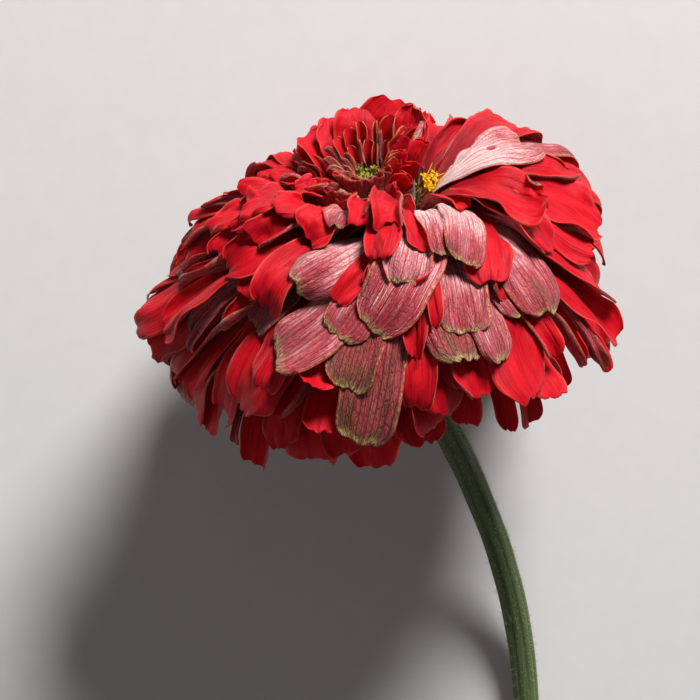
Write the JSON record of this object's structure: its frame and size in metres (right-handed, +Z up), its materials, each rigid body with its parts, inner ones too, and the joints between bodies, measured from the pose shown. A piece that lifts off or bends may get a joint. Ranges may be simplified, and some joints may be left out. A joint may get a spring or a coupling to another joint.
{
  "type": "zinnia flower",
  "caption": "Fully double zinnia bloom with drooping, overlapping ray petals, a tuft of young petals and a curved cut stem, lying on its side",
  "frame": {"origin": "centre of the flower's bounding box, on the surface it lies on", "axes": "+Z up from the surface; +Y along the flower, from the cut end of the stem towards the top of the bloom; +X to the right, seen from above with the bloom at the top"},
  "size_m": [0.0909, 0.1436, 0.0881],
  "materials": {
    "petal_red": "soft velvety petal, scarlet red",
    "petal_pale": "petal turned to show its pale pink, crimson-veined reverse with an olive rim",
    "crown_red": "young petals of the central tuft, crimson with paler rims",
    "bud_green": "unopened florets, yellow-green",
    "floret_yellow": "open disc florets, golden yellow",
    "receptacle_green": "pale green fleshy receptacle",
    "bract_green": "overlapping bracts with dark fringed edges",
    "stem_green": "ribbed, finely hairy green stem"
  },
  "bodies": {
    "root": {"stem": "stem_green", "involucre": "bract_green", "receptacle": "receptacle_green", "bud_florets": "bud_green", "disc_florets": "floret_yellow", "crown_petals_inner": "crown_red", "crown_petals_outer": "crown_red", "rim_petal_01": "petal_red", "rim_petal_02": "petal_red", "rim_petal_03": "petal_red", "rim_petal_04": "petal_red", "rim_petal_05": "petal_red", "rim_petal_06": "petal_red", "rim_petal_07": "petal_red", "rim_petal_08": "petal_red", "rim_petal_09": "petal_red", "rim_petal_10": "petal_red", "rim_petal_11": "petal_red", "rim_petal_12": "petal_red", "rear_petal_01": "petal_red", "rear_petal_02": "petal_red", "rear_petal_03": "petal_red", "rear_petal_04": "petal_red", "rear_petal_05": "petal_red", "rear_petal_06": "petal_red", "rear_petal_07": "petal_red", "skirt_petal_01": "petal_red", "skirt_petal_02": "petal_pale", "skirt_petal_03": "petal_red", "skirt_petal_04": "petal_red", "skirt_petal_05": "petal_red", "skirt_petal_06": "petal_red", "skirt_petal_07": "petal_red", "skirt_petal_08": "petal_red", "skirt_petal_09": "petal_red", "skirt_petal_10": "petal_red", "skirt_petal_11": "petal_red", "skirt_petal_12": "petal_red", "left_petal_01": "petal_red", "left_petal_02": "petal_red", "left_petal_03": "petal_red", "left_petal_04": "petal_red", "left_petal_05": "petal_red", "left_petal_06": "petal_red", "front_petal_01": "petal_pale", "front_petal_02": "petal_pale", "front_petal_03": "petal_pale", "front_petal_04": "petal_pale", "front_petal_05": "petal_red", "front_petal_06": "petal_pale", "front_petal_07": "petal_pale", "front_petal_08": "petal_pale", "front_petal_09": "petal_pale", "right_petal_01": "petal_red", "right_petal_02": "petal_red", "right_petal_03": "petal_red", "right_petal_04": "petal_red", "right_petal_05": "petal_red", "right_petal_06": "petal_pale", "top_petal_01": "petal_red"}
  },
  "joints": []
}
